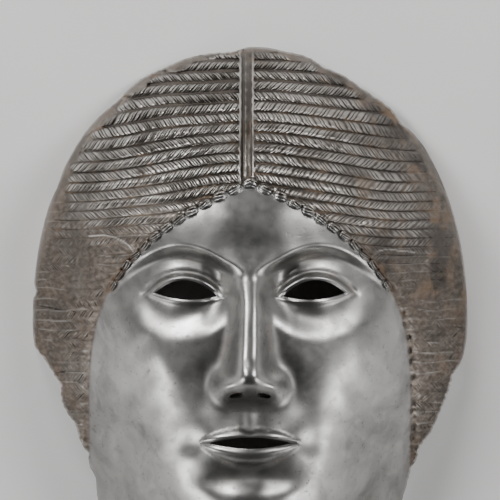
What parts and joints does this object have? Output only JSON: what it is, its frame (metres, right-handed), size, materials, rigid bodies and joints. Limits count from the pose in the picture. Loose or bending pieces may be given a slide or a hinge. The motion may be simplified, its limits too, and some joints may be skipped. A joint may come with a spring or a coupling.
{
  "type": "female face mask",
  "caption": "Face mask embossed from sheet metal: a calm woman's face with open eyes and mouth, plaited hair parted in the middle, beads along the hairline and a broken edge.",
  "frame": {"origin": "middle of the mask's outline, in the plane that its rim rests on", "axes": "+Z out of the face, +Y towards the top of the head, +X to the right of whoever looks at the face"},
  "size_m": [0.213, 0.2489, 0.1087],
  "materials": {
    "tinned_sheet": "worn satin with brown patina in the hair"
  },
  "bodies": {
    "root": {"face_mask": "tinned_sheet"}
  },
  "joints": []
}
